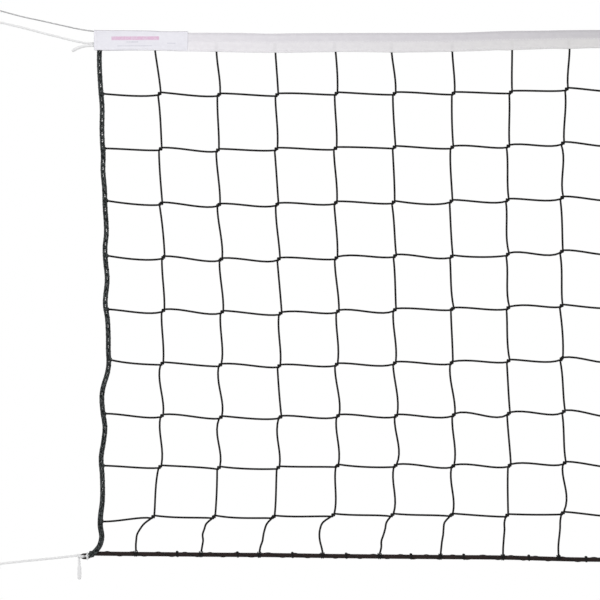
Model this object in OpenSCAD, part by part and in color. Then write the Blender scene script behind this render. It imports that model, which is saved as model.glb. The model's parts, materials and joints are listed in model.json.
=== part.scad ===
// Volleyball net: one full length of knotted netting under a folded headband, hung on a cable,
// with roped edges and two white tie ropes at each end.
// X runs along the net, Z is up, and the net hangs in the plane Y = 0.
// The origin is the middle of the eye at the left end of the cable.

/* [Netting] */
// Side of one square mesh
mesh = 100; // [80:5:120]
// Number of meshes along the net
meshes_long = 95; // [20:1:100]
// Diameter of the netting twine
twine_d = 3.2; // [2:0.1:4]
// Width over the knot where two twines cross
knot_d = 6.4; // [5:0.1:8]
// Height of one knot
knot_h = 5; // [3:0.5:7]
// Depth of the hung net, from the cable to the middle of the bottom rope
net_drop = 889; // [880:1:960]
// How far the lowest bars lean out towards the ends of the net
lean_out = 32; // [0:1:36]

/* [Headband] */
// Height of the folded headband
band_h = 32; // [30:1:60]
// Thickness of the headband over the cable
band_t = 6; // [5.4:0.1:6.8]
// Clear space round the cable in its sleeve
sleeve_gap = 0.5; // [0.3:0.1:0.6]
// Clear space round the netting in the fold of the headband
fold_gap = 0.3; // [0.2:0.05:0.35]

/* [End patches] */
// Length of the patch sewn over each end of the headband
patch_l = 161; // [140:1:240]
// Height of the patch
patch_h = 36; // [34:0.5:38]
// Height of the patch above the cable's line
patch_top = 9.5; // [9.5:0.1:11]
// Cloth thickness of the patch
patch_wall = 1; // [0.8:0.1:1.6]
// Clear width inside the patch
patch_room = 7.6; // [7.4:0.1:9]
// Diameter of the bar of thread that holds the rope's turn
tack_d = 1.2; // [0.8:0.1:1.4]

/* [Edge ropes] */
// Diameter of the side ropes
side_d = 8.8; // [6:0.1:9]
// Distance of a side rope from the end of the headband
side_inset = 9; // [8:0.5:12]
// How far a side rope bows in at half its height
side_bow = 13; // [0:1:16]
// Diameter of the bottom rope
bottom_d = 8.2; // [6:0.1:8.4]
// Outer diameter of the lashing at a lower corner
lashing_d = 12.4; // [11:0.1:13]
// Length of the lashing
lashing_l = 10; // [8:0.5:14]
// Clear space round a rope where it is held
rope_gap = 0.2; // [0.1:0.05:0.25]

/* [Cable] */
// Diameter of the cable
cable_d = 2.4; // [2:0.1:2.6]
// Bore of the round thimble in the cable's eye
eye_bore = 10; // [6:0.5:12]
// Width of the thimble
thimble_w = 5; // [4:0.1:8]
// Length of the ferrule behind the eye
ferrule_l = 16; // [12:1:20]
// Wall of the ferrule round the cable
ferrule_wall = 1.2; // [1:0.1:2]

/* [Tie ropes] */
// Diameter of the white tie ropes
tie_d = 4; // [3.4:0.1:4.2]
// Diameter of the short tail at the headband
band_tail_d = 4.6; // [3.8:0.1:4.6]
// Diameter of the opened tail at the lower corner
corner_tail_d = 6; // [4:0.1:7]
// Inner diameter of the loop at the far end of a tie rope
loop_bore = 26; // [20:1:40]
// Diameter of the knots in the tie ropes
tie_knot_d = 8.6; // [8:0.1:11]
// Length of the knots in the tie ropes
tie_knot_l = 8; // [6:0.5:8]

/* [Hidden] */
$fn = 48;
// Seat left between two pieces that touch on the real net
seat = 0.3;

// Places below are measured from the headband's left end and the cable's line inside it.
// Middle of the cable's eye
eye_out = 202;
eye_up = 49;
// Slope of the cable where it reaches its eye, in degrees
eye_slope = 12.5;
band_l = meshes_long * mesh + 2 * side_inset;
band_low = band_t / 2 - band_h;
patch_low = patch_top - patch_h;
// The headband starts inside the patch, where the cable lies straight
band_start = 72;
// How far the cable's straight middle and its bent ends run into each other
cable_lap = 4;
// Bent ends are this much thinner, so that they hide in the straight middle
end_slack = 0.04;
// Depth of the netting's topmost row, inside the headband's fold
top_row_drop = 9.5;
// How far the topmost row stops short of the headband's end
row_inset = 8;
fold_top = top_row_drop - twine_d / 2 - fold_gap;

// Rows of knots draw together towards the bottom as the bars slacken
rows = 9;
row_start = 5;
row_slack = 0.58;
// Height from the last row to the middle of the bottom rope
last_bar = 65.5;
row_pitch = (net_drop - last_bar - row_start + row_slack * rows * (rows - 1)) / rows;
function row_z(k) = -(row_start + row_pitch * k - row_slack * k * (k - 1));
function column_x(k) = side_inset + mesh * k;
// The lowest bars lean out near the ends of the net, and stand straight from this column on
fade = 12;
function leaning(k) = lean_out * max(0, 1 - (k - 1) / fade);
function lean(k) = leaning(meshes_long - k) - leaning(k);

// Side rope: a shallow bow from the patch to the corner, then a curl on to the lashing
side_seat = 4.5;
side_top = patch_low + side_seat;
bow_end = 24 - net_drop;
bow_turn = 168;
bow_rings = 14;
function bow_part(z) = max(0, min(1, (side_top - z) / (side_top - bow_end)));
function side_x(z) = side_inset + side_bow * sin(bow_turn * bow_part(z));
side_rest = lashing_d / 2 + seat + side_d / 2 - net_drop;
side_route = concat(
  [for (i = [0:bow_rings])
    let (z = side_top + (bow_end - side_top) * i / bow_rings)
      [side_x(z), z]],
  [[10.8, side_rest + 6], [7.4, side_rest + 2], [3, side_rest + 0.3], [-2, side_rest]]
);

// Lower corner, outwards from the lashing to the knot of the tie rope
lashing_in = 3;
lashing_out = lashing_in - lashing_l;
rope_proud = 0.5;
rope_end = lashing_out - rope_proud;
corner_drop = 4.6;
corner_z = -net_drop - corner_drop;
eye_section = 3.8;
eye_ring = 4.6;
eye_x = rope_end - seat - eye_section / 2 - eye_ring;
hitch_ring = 5.6;
hitch_x = eye_x - eye_ring + eye_section / 2 + seat + tie_d / 2 - hitch_ring;
hitch_hold = 4.5;
knot_in = hitch_x - hitch_ring + hitch_hold;
knot_out = knot_in - tie_knot_l;
// How far the tail's end is held in the knot
tail_grip = 1;

// Upper corner: the tie rope turns back round a bar of thread inside the patch
turn_x = 12;
turn_z = -16.6;
turn_ring = 2.9;
mouth_half = 2.3;
// How far a far loop is held in its knot
loop_grip = 1;

// Eye of the cable, measured from its middle along the cable and across it
thimble_base = 1.5;
thimble_lip = 0.8;
loop_r = eye_bore / 2 + thimble_base + seat + cable_d / 2;
leg_gap = 1;
leg = (cable_d + leg_gap) / 2;
mouth_reach = 8;
mouth = loop_r + mouth_reach;
tangent = atan2(leg, mouth) + acos(loop_r / norm([mouth, leg]));
loop_steps = 10;
dead_end = 3;

// Routes of the free ropes, as [x, z] from the piece that holds them outwards
cable_route = [[60, 0.8], [40, 2.4], [20, 4.2], [0, 6], [-28, 10.2], [-90, 23.9], [-126, 31.8]];
band_tie_route = [[-14, -14], [-32, -10.8], [-60, -3.9], [-90, 3.6], [-120, 11.6], [-172, 24], [-232, 38]];
band_tail_route = [[-10, -18.7], [-20, -19.8], [-30, -23.2], [-38, -27.4]];
corner_tie_route = [[-60, -3.8], [-90, -7.2], [-125, -11], [-172, -16.6]];
corner_tail_route = [[0.2, -12], [0.6, -25], [0.4, -37]];

// ---- Shapes -------------------------------------------------------------------------------

function unit(v) = v / norm(v);
function heading(p, i) = unit(p[min(i + 1, len(p) - 1)] - p[max(i - 1, 0)]);
function mirrored(p) = [for (i = [len(p) - 1:-1:0]) [band_l - p[i][0], p[i][1]]];

// A closed tube along points of the XZ plane, with flat ends
module tube(route, d, sides = 8) {
  n = len(route);
  corners = [
    for (i = [0:n - 1])
      let (h = heading(route, i))
        for (k = [0:sides - 1])
          let (a = 360 * (k + 0.5) / sides)
            let (out = d / 2 * cos(a), across = d / 2 * sin(a))
              [route[i][0] - h[1] * out, across, route[i][1] + h[0] * out]
  ];
  walls = [
    for (i = [0:n - 2], k = [0:sides - 1])
      let (a = i * sides + k, b = i * sides + (k + 1) % sides)
        [a, b, b + sides, a + sides]
  ];
  first = [for (k = [sides - 1:-1:0]) k];
  last = [for (k = [0:sides - 1]) (n - 1) * sides + k];
  polyhedron(points = corners, faces = concat([first], walls, [last]), convexity = 6);
}

// A ring of round section whose middle line has radius r, in the XZ plane
module ring(r, section_d) {
  rotate([90, 0, 0])
    rotate_extrude()
      translate([r, 0])
        circle(d = section_d);
}

// A straight round bar between two points of the XZ plane
module bar(from, to, d) {
  way = to - from;
  translate([from[0], 0, from[1]])
    rotate([0, atan2(way[0], way[1]), 0])
      cylinder(h = norm(way), d = d);
}

// A flat section in the YZ plane, drawn as [y, z], pushed along X
module along_x(from, to) {
  translate([from, 0, 0])
    rotate([90, 0, 90])
      linear_extrude(to - from)
        children();
}

// The corner frame, with the headband's left end and the cable's line at its origin
module in_place() {
  translate([eye_out, 0, -eye_up])
    children();
}

module at_right() {
  in_place()
    translate([band_l, 0, 0])
      mirror([1, 0, 0])
        children();
}

// ---- Cable and its eyes -------------------------------------------------------------------

// From the eye's own frame, along the cable and across it, to the corner frame
function from_eye(p) = [
  p[0] * cos(eye_slope) + p[1] * sin(eye_slope) - eye_out,
  p[1] * cos(eye_slope) - p[0] * sin(eye_slope) + eye_up
];

function cable_end() = concat(
  [from_eye([mouth + ferrule_l + dead_end, -leg]), from_eye([mouth, -leg])],
  [for (i = [0:loop_steps])
    let (a = -tangent - (360 - 2 * tangent) * i / loop_steps)
      from_eye(loop_r * [cos(a), sin(a)])],
  [from_eye([mouth, leg]), from_eye([mouth + ferrule_l, leg])],
  [for (i = [len(cable_route) - 1:-1:0]) cable_route[i]],
  [[band_start, 0], [band_start + cable_lap, 0]]
);

module top_cable() {
  straight_in = band_start + cable_lap / 2;
  end_d = cable_d - end_slack;
  color("#9da0a4")
    in_place() {
      bar([straight_in, 0], [band_l - straight_in, 0], cable_d);
      tube(cable_end(), end_d);
      tube(mirrored(cable_end()), end_d);
    }
}

module in_eye() {
  translate([-eye_out, 0, eye_up])
    rotate([0, eye_slope, 0])
      children();
}

module thimble() {
  rim = loop_r + thimble_lip;
  base = eye_bore / 2;
  color("#c9ccd0")
    in_eye()
      rotate([90, 0, 0])
        rotate_extrude()
          difference() {
            translate([base, -thimble_w / 2])
              square([rim - base, thimble_w]);
            translate([loop_r, 0])
              circle(d = cable_d + 2 * seat);
            translate([loop_r, -cable_d / 2 - seat])
              square([rim, cable_d + 2 * seat]);
          }
}

module ferrule() {
  bore = cable_d + 2 * rope_gap;
  color("#b9a98a")
    in_eye()
      along_x(mouth, mouth + ferrule_l)
        difference() {
          union() {
            for (side = [-1, 1])
              translate([0, side * leg])
                circle(d = cable_d + 2 * ferrule_wall);
            square([cable_d + 2 * ferrule_wall, 2 * leg], center = true);
          }
          for (side = [-1, 1])
            translate([0, side * leg])
              circle(d = bore);
        }
}

// ---- Headband -----------------------------------------------------------------------------

module headband() {
  fold_w = twine_d + 2 * fold_gap;
  color("#f3f2f5")
    in_place()
      along_x(band_start, band_l - band_start)
        difference() {
          union() {
            circle(d = band_t);
            translate([-band_t / 2, band_low])
              square([band_t, -band_low]);
          }
          circle(d = cable_d + 2 * sleeve_gap);
          translate([-fold_w / 2, band_low - 1])
            square([fold_w, 1 - fold_top - band_low]);
        }
}

// Outline of the folded patch, with its round top, for a given half width
module patch_outline(half, low) {
  middle = patch_top - patch_wall - patch_room / 2;
  translate([0, middle])
    circle(r = half);
  translate([-half, low])
    square([2 * half, middle - low]);
}

module end_patch() {
  seat_d = side_d + 2 * rope_gap;
  seat_h = side_seat + seat;
  outer = patch_room / 2 + patch_wall;
  color("#efecf6") {
    difference() {
      union() {
        along_x(0, patch_l)
          patch_outline(outer, patch_low);
        translate([side_inset, 0, patch_low])
          cylinder(h = seat_h + patch_wall, d = seat_d + 2 * patch_wall);
      }
      along_x(-1, patch_l + 1)
        patch_outline(patch_room / 2, patch_low - 1);
      translate([side_inset, 0, patch_low - 1])
        cylinder(h = seat_h + 1, d = seat_d);
    }
    translate([turn_x, 0, turn_z])
      rotate([90, 0, 0])
        cylinder(h = patch_room + patch_wall, d = tack_d, center = true);
  }
}

// ---- Netting ------------------------------------------------------------------------------

module twine_color() {
  color("#17191c")
    in_place()
      children();
}

module mesh_top_row() {
  start = band_start + row_inset;
  twine_color()
    bar([start, -top_row_drop], [band_l - start, -top_row_drop], twine_d);
}

module mesh_rows() {
  twine_color()
    for (k = [1:rows]) {
      z = row_z(k);
      start = side_x(z) + side_d / 2 + seat;
      bar([start, z], [band_l - start, z], twine_d);
    }
}

// One upright string of twine, with the thick knots where it is tied to the rows
module column() {
  top = -top_row_drop - twine_d / 2 - seat;
  knot_edge = function(k, side) row_z(k) + side * knot_h / 2;
  outline = concat(
    [[0, top], [twine_d / 2, top]],
    [for (k = [1:rows], step = [0:3])
      [step % 3 == 0 ? twine_d / 2 : knot_d / 2, knot_edge(k, step < 2 ? 1 : -1)]],
    [[0, knot_edge(rows, -1)]]
  );
  rotate_extrude($fn = 24)
    polygon(outline);
}

module mesh_columns() {
  twine_color()
    for (k = [1:meshes_long - 1])
      translate([column_x(k), 0, 0])
        column();
}

// A leaning bar is cut short, so that its flat ends stay clear of the knot and the rope
module mesh_lowest_bars() {
  top = row_z(rows) - knot_h / 2 - seat;
  foot = bottom_d / 2 + seat - net_drop;
  twine_color()
    for (k = [1:meshes_long - 1]) {
      tilt = abs(lean(k)) / norm([lean(k), top - foot]);
      room = tilt * twine_d / 2;
      bar([column_x(k), top - room], [column_x(k) + lean(k), foot + room], twine_d);
    }
}

// ---- Edge ropes ---------------------------------------------------------------------------

module side_rope() {
  color("#101413")
    tube(side_route, side_d, sides = 12);
}

module bottom_rope() {
  color("#14110f")
    in_place()
      bar([rope_end, -net_drop], [band_l - rope_end, -net_drop], bottom_d);
}

module corner_lashing() {
  color("#0f1312")
    translate([0, 0, -net_drop])
      along_x(lashing_out, lashing_in)
        difference() {
          circle(d = lashing_d);
          circle(d = bottom_d + 2 * rope_gap);
        }
}

module corner_eye() {
  color("#17100f")
    translate([eye_x, 0, corner_z])
      ring(eye_ring, eye_section);
}

// ---- Tie ropes ----------------------------------------------------------------------------

module tie_color() {
  color("#dcdddd")
    children();
}

module band_turn() {
  steps = 6;
  turn = [for (i = [0:steps])
    let (a = 90 - 180 * i / steps)
      [turn_x + turn_ring * cos(a), turn_z + turn_ring * sin(a)]];
  tie_color()
    tube(concat([[0, turn_z + mouth_half]], turn, [[0, turn_z - mouth_half]]), tie_d);
}

module band_tie() {
  tie_color()
    tube(concat([[0, turn_z + mouth_half]], band_tie_route), tie_d);
}

module band_tail() {
  tie_color()
    tube(concat([[0, turn_z - mouth_half]], band_tail_route), band_tail_d);
}

// A knot and the loop that it closes, beyond the outer end of a tie rope
module end_loop(route) {
  last = len(route) - 1;
  tip = route[last];
  way = tip - route[last - 1];
  loop = (loop_bore + tie_d) / 2;
  tie_color()
    translate([tip[0], 0, tip[1]])
      rotate([0, -atan2(way[1], way[0]), 0]) {
        bar([0, 0], [tie_knot_l, 0], tie_knot_d);
        translate([tie_knot_l + loop - loop_grip, 0, 0])
          ring(loop, tie_d);
      }
}

// The tie rope's small loop through the black eye, and its knot
module corner_hitch() {
  tie_color()
    translate([0, 0, corner_z]) {
      translate([hitch_x, 0, 0])
        rotate([90, 0, 0])
          ring(hitch_ring, tie_d);
      bar([knot_out, 0], [knot_in, 0], tie_knot_d);
    }
}

function corner_tie_points() = concat(
  [[knot_out, corner_z]],
  [for (p = corner_tie_route) [p[0], p[1] + corner_z]]
);

module corner_tie() {
  tie_color()
    tube(corner_tie_points(), tie_d);
}

module corner_tail() {
  middle = (knot_in + knot_out) / 2;
  under = corner_z + tail_grip - tie_knot_d / 2;
  route = concat([[0, 0]], corner_tail_route);
  tie_color()
    tube([for (p = route) p + [middle, under]], corner_tail_d);
}

// ---- Pieces -------------------------------------------------------------------------------

top_cable();
in_place() thimble();  // left_thimble
at_right() thimble();  // right_thimble
in_place() ferrule();  // left_ferrule
at_right() ferrule();  // right_ferrule
headband();
in_place() end_patch();  // left_end_patch
at_right() end_patch();  // right_end_patch
mesh_top_row();
mesh_rows();
mesh_columns();
mesh_lowest_bars();
in_place() side_rope();  // left_side_rope
at_right() side_rope();  // right_side_rope
bottom_rope();
in_place() corner_lashing();  // left_corner_lashing
at_right() corner_lashing();  // right_corner_lashing
in_place() corner_eye();  // left_corner_eye
at_right() corner_eye();  // right_corner_eye
in_place() band_turn();  // left_band_turn
at_right() band_turn();  // right_band_turn
in_place() band_tie();  // left_band_tie
at_right() band_tie();  // right_band_tie
in_place() band_tail();  // left_band_tail
at_right() band_tail();  // right_band_tail
in_place() end_loop(band_tie_route);  // left_band_loop
at_right() end_loop(band_tie_route);  // right_band_loop
in_place() corner_hitch();  // left_corner_hitch
at_right() corner_hitch();  // right_corner_hitch
in_place() corner_tie();  // left_corner_tie
at_right() corner_tie();  // right_corner_tie
in_place() corner_tail();  // left_corner_tail
at_right() corner_tail();  // right_corner_tail
in_place() end_loop(corner_tie_points());  // left_corner_loop
at_right() end_loop(corner_tie_points());  // right_corner_loop
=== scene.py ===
"""The looks of the volleyball net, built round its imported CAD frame.

Places are in millimetres in the corner frame: x from the headband's end inwards, z up from the
cable's line, and y away from the viewer. The net's right end is the mirror image of its left end.
"""
import json
import math

import bpy
import numpy as np
from mathutils import Matrix, Vector
from numpy.random import default_rng


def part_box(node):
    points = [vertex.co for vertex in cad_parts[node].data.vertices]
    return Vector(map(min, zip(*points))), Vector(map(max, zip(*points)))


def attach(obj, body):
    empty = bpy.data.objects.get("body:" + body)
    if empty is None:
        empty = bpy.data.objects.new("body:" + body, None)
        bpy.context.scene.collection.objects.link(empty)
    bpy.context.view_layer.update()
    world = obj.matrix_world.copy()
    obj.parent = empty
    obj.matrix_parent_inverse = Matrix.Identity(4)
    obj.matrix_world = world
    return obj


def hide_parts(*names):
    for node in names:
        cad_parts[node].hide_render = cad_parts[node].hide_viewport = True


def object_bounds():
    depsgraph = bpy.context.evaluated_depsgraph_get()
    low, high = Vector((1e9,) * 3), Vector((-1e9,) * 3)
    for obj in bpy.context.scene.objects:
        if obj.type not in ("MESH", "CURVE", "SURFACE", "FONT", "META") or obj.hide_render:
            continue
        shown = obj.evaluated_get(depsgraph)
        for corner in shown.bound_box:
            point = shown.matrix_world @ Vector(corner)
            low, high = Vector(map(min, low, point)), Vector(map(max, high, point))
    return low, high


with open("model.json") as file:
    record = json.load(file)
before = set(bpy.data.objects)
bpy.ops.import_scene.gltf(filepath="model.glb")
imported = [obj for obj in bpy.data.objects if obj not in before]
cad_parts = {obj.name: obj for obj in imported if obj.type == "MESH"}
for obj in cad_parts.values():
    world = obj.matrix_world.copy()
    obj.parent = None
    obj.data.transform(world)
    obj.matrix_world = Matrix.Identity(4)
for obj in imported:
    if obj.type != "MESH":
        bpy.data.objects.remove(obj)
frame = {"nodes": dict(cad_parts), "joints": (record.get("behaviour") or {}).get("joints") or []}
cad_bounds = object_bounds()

MM = 0.001
TAU = 2 * math.pi
SIDES = ("left", "right")

# ---- The frame's driving places ----

swing = frame["joints"][0]
CORNER = np.array(swing["pos_m"]) / MM
BAND_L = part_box("right_end_patch")[1].x / MM - CORNER[0]
NET_DROP = 889
MESH = 100
MESHES = round((BAND_L - 18) / MESH)
ROWS = 9
SIDE_INSET = 9


def xyz(x, y, z):
    """Points from their three parts, each a number or an array."""
    return np.stack(np.broadcast_arrays(x, y, z), -1)


def in_space(points, y=0.0):
    """A copy of the points. Those given as (x, z) get their y."""
    p = np.array(points, float)
    return xyz(p[..., 0], y, p[..., 1]) if p.shape[-1] == 2 else p


def read_off(pairs, x):
    """What a table of (place, value) pairs gives at x."""
    return np.interp(x, *zip(*pairs))


def in_row(points, side=None):
    """Points of the corner frame, in mm, as points of the row frame, in metres."""
    p = in_space(points)
    if side == "right":
        p[..., 0] = BAND_L - p[..., 0]
    return (p + CORNER) * MM


def catmull(a, b, c, d, t):
    """A Catmull-Rom spline from b to c, at shares t of the way."""
    return 0.5 * (2 * b + (c - a) * t + (2 * a - 5 * b + 4 * c - d) * t**2 + (3 * b - a - 3 * c + d) * t**3)


def smooth(points, step):
    """A smooth curve through points, itself in points about step mm apart."""
    p = in_space(points)
    ends = np.vstack([2 * p[0] - p[1], p, 2 * p[-1] - p[-2]])
    out = []
    for a, b, c, d in zip(ends, ends[1:], ends[2:], ends[3:]):
        n = max(1, int(round(np.linalg.norm(c - b) / step)))
        out.append(catmull(a, b, c, d, (np.arange(n) / n)[:, None]))
    return np.vstack(out + [p[-1:]])


def travel(paths):
    """How far each point of each path lies from its start, along it."""
    steps = np.linalg.norm(np.diff(paths, axis=-2), axis=-1)
    return np.concatenate([0 * steps[..., :1], np.cumsum(steps, -1)], -1)


def resampled(path, step):
    """The same line with points step mm apart."""
    along = travel(path)
    at = np.linspace(0, along[-1], max(2, int(round(along[-1] / step)) + 1))
    return xyz(*(np.interp(at, along, part) for part in path.T))


BAND_SAG = [(0, 0), (160, -0.3), (250, -0.9), (300, -2.2), (345, -1.7), (420, -1.4), (600, -1.5), (644, -0.7),
    (700, 1.2), (760, 1.7), (840, 2.6), (1000, 2.2), (1600, 0)]


def band_sag(x):
    """How far the headband and the cable in it lie above the straight line, near either end."""
    line = smooth(BAND_SAG, 10)
    return np.interp(np.minimum(x, BAND_L - x), line[:, 0], line[:, 2])


# ---- Meshes ----

def placed(name, data):
    """A new object in the scene."""
    ob = bpy.data.objects.new(name, data)
    bpy.context.scene.collection.objects.link(ob)
    return ob


class Build:
    """Collects parts of one mesh. Each face corner carries its lay: round, along in mm, and a seed."""

    def __init__(self):
        self.points, self.faces, self.lays, self.smooth, self.count = [], [], [], [], 0

    def add(self, points, faces, lays):
        """New points with smooth faces between them."""
        self.cover(faces + self.count, lays, smooth=True)
        self.points.append(points.reshape(-1, 3))
        self.count += len(self.points[-1])

    def cover(self, faces, lays, smooth=False):
        """Faces between points that are there already."""
        self.faces.append(faces.reshape(-1, faces.shape[-1]))
        self.lays.append(lays.reshape(*self.faces[-1].shape, 3))
        self.smooth += [smooth] * len(self.faces[-1])

    def piece(self, name, material, slot, node=None, side=None, body="net"):
        """The mesh as one piece that rides on its body and stands for a soft node. A piece of one side
        has the side's name in front of its own and of its node's."""
        prefix = f"{side}_" if side else ""
        way = -1 if side == "right" else 1
        points = in_row(np.vstack(self.points), side)
        faces = [f for block in self.faces for f in block[:, ::way].tolist()]
        lays = np.vstack([block[:, ::way].reshape(-1, 3) for block in self.lays])
        mesh = bpy.data.meshes.new(prefix + name)
        mesh.from_pydata(points.tolist(), [], faces)
        mesh.attributes.new("lay", "FLOAT_VECTOR", "CORNER").data.foreach_set(
            "vector", lays.astype(np.float32).ravel())
        mesh.polygons.foreach_set("use_smooth", self.smooth)
        mesh.materials.append(material)
        ob = placed(prefix + name, mesh)
        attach(ob, body)
        if node:
            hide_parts(prefix + node)
        return ob


def unit(v):
    return v / np.maximum(np.linalg.norm(v, axis=-1, keepdims=True), 1e-9)


def frames(paths):
    """Two cross directions along each of many paths, turning as little as they can."""
    tangents = unit(np.gradient(paths, axis=1))
    across = np.zeros_like(tangents)
    first = np.tile([0.0, 1.0, 0.0], (len(paths), 1))
    first[np.abs(tangents[:, 0, 1]) > 0.9] = [1.0, 0.0, 0.0]
    for r in range(paths.shape[1]):
        t = tangents[:, r]
        first = unit(first - (first * t).sum(-1, keepdims=True) * t)
        across[:, r] = first
    return across, np.cross(tangents, across)


def tubes(build, paths, radius, sides=6, lobes=1.0, lay=0.0, seeds=0.0, share=None):
    """Adds tubes along paths. lobes gives each side's share of the radius, and the sides turn once
    every lay mm. share(angle, along) gives one more share of the radius."""
    paths = np.asarray(paths, float)
    paths = paths[None] if paths.ndim == 2 else paths
    count, rings, _ = paths.shape
    across, up = frames(paths)
    along = travel(paths)
    angle = TAU * np.arange(sides) / sides
    turn = along[..., None] * (TAU / lay if lay else 0.0) + angle
    radius = np.broadcast_to(radius, (count, rings))[..., None] * lobes
    if share:
        radius = radius * share(turn, along[..., None])
    a, b = radius * np.cos(turn), radius * np.sin(turn)
    points = paths[:, :, None] + a[..., None] * across[:, :, None] + b[..., None] * up[:, :, None]
    index = np.arange(count * rings * sides).reshape(count, rings, sides)
    here, there = index[:, :-1], index[:, 1:]
    faces = np.stack([here, np.roll(here, -1, 2), np.roll(there, -1, 2), there], -1)
    around = np.arange(sides + 1) / sides
    lays = np.zeros(faces.shape + (3,))
    lays[..., 2] = np.broadcast_to(seeds, count)[:, None, None, None]
    for corner, (side, ring) in enumerate([(0, 0), (1, 0), (1, 1), (0, 1)]):
        lays[..., corner, 0] = around[side:side + sides]
        lays[..., corner, 1] = along[:, ring:ring + faces.shape[1], None]
    start = build.count
    build.add(points, faces, lays)
    for ring, order in ((0, -1), (rings - 1, 1)):
        cap = index[:, ring, ::order] + start
        build.cover(cap, xyz(np.zeros(cap.shape), along[:, ring, None], 0))
    return build


def strands(number, depth, per):
    """Each side's share of the radius, for a rope of so many strands with per sides each."""
    a = np.arange(number * per) / per
    return 1 - depth * (1 - np.abs(np.cos(math.pi * a)))


# ---- Materials ----

class Nodes:
    """Short names for the nodes of a material or of the world."""

    def __init__(self, owner, **settings):
        """owner is the world, or the name of a new material. settings are constants of the material's
        shader: the sockets' names with _ for each space."""
        owner = bpy.data.materials.new(owner) if isinstance(owner, str) else owner
        owner.use_nodes = True
        self.owner, self.tree = owner, owner.node_tree
        self.shader = self.tree.nodes.get("Principled BSDF")
        for key, value in settings.items():
            self.shader.inputs[key.replace("_", " ")].default_value = value

    def make(self, kind, inputs=(), **values):
        """A new node. inputs are for its first sockets in order, or a dict by the sockets' names."""
        node = self.tree.nodes.new(kind)
        for key, value in values.items():
            setattr(node, key, value)
        for key, value in inputs.items() if isinstance(inputs, dict) else enumerate(inputs):
            self.put(node.inputs[key], value)
        return node

    def put(self, socket, value):
        """Links a socket to another, or sets it to a number or a colour."""
        if isinstance(value, bpy.types.NodeSocket):
            self.tree.links.new(value, socket)
        else:
            socket.default_value = (*value, 1) if isinstance(value, tuple) else value

    def math(self, operation, a, b=0.0, c=0.0):
        return self.make("ShaderNodeMath", (a, b, c), operation=operation).outputs[0]

    def times(self, a, b):
        return self.math("MULTIPLY", a, b)

    def split(self, vector):
        return self.make("ShaderNodeSeparateXYZ", (vector,)).outputs

    def lay(self):
        return self.split(self.make("ShaderNodeAttribute", attribute_name="lay").outputs["Vector"])

    def place(self):
        return self.make("ShaderNodeTexCoord").outputs["Object"]

    def noise(self, scale, detail):
        inputs = {"Vector": self.place(), "Scale": scale, "Detail": detail}
        return self.make("ShaderNodeTexNoise", inputs).outputs["Fac"]

    def ramp(self, value, low, high, start=0.0, end=1.0):
        return self.make("ShaderNodeMapRange", (value, low, high, start, end), clamp=True).outputs[0]

    def blend(self, share, a, b, mode="MIX"):
        node = self.make("ShaderNodeMix", (share,), data_type="RGBA", blend_type=mode)
        for socket, colour in zip([s for s in node.inputs if s.type == "RGBA"], (a, b)):
            self.put(socket, colour)
        return [s for s in node.outputs if s.type == "RGBA"][0]

    def bump(self, height, strength, distance):
        node = self.make("ShaderNodeBump", {"Strength": strength, "Distance": distance, "Height": height})
        self.put(self.shader.inputs["Normal"], node.outputs[0])

    def colour(self, value):
        self.put(self.shader.inputs["Base Color"], value)

    def wave(self, phase):
        """0 to 1 and back once for each whole number of phase."""
        return self.math("MULTIPLY_ADD", self.math("COSINE", self.times(phase, TAU)), 0.5, 0.5)

    def between(self, value, low, high, soft=0.25):
        """1 from low to high and 0 outside, with soft ends."""
        return self.times(self.ramp(value, low - soft, low + soft), self.ramp(value, high + soft, high - soft))

    def tinted(self, share, cloth, tint):
        """The cloth's colour times a tint, to that share."""
        return self.blend(share, cloth, tint, "MULTIPLY")

    def strands(self, count, pitch, way=1):
        """1 on a cord's strands and 0 between them. way is the way that they turn."""
        around, along, _ = self.lay()
        return self.wave(self.math("MULTIPLY_ADD", along, way / pitch, self.times(around, count)))


def cord_material(name, dark, light, strand_count, pitch, relief, sheen=0.05, braid=False,
                  mottle=(25, 0.3, 0.7, 0.75)):
    """A twisted or braided cord, from its lay: valleys between the strands get painted shade. mottle is the
    patches' fineness, the noise that makes them dull and bright, and how dark the dull ones get. The
    patches are a random tone, and on the teal-black cord they are painted glints on the braid."""
    n = Nodes(name, Roughness=0.8, Sheen_Weight=sheen, Sheen_Roughness=0.5, Specular_IOR_Level=0.15)
    height = n.strands(strand_count, pitch)
    if braid:
        height = n.math("MAXIMUM", height, n.strands(strand_count, pitch, -1))
    fuzz = n.noise(900, 3)
    # painted shade: the valleys between the strands take the dark colour
    shade = n.times(height, n.ramp(fuzz, 0.3, 0.7, 0.6, 1.0))
    fine, *tones = mottle
    # random tone patches; on the teal-black cord these are painted glints
    tone_and_glint_patches = n.ramp(n.noise(fine, 2), *tones)
    n.colour(n.blend(n.times(shade, tone_and_glint_patches), dark, light))
    n.bump(n.math("MULTIPLY_ADD", fuzz, 0.25, height), 0.8, relief * MM)
    return n.owner


def steel_material(name, base, rough, strand_count=0, pitch=1.0, relief=0.0):
    """Dull metal with streaks, and with strands if it is a wire rope, whose valleys get painted shade."""
    n = Nodes(name, Roughness=rough, Metallic=0.85)
    streaks = n.noise(300, 3)
    tone_and_painted_shade = n.ramp(streaks, 0.3, 0.75, 0.72, 1.0)
    n.put(n.shader.inputs["Roughness"], n.ramp(n.noise(80, 2), 0.3, 0.7, rough - 0.08, rough + 0.12))
    if strand_count:
        height = n.strands(strand_count, pitch)
        # painted shade in the valleys between the wire rope's strands; the streaks are the metal's own tone
        tone_and_painted_shade = n.times(tone_and_painted_shade, n.ramp(height, 0.0, 0.6, 0.45, 1.0))
        n.bump(height, 0.6, relief * MM)
    else:
        n.bump(streaks, 0.15, 0.1 * MM)
    n.colour(n.blend(tone_and_painted_shade, tuple(0.4 * c for c in base), base))
    return n.owner


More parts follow.
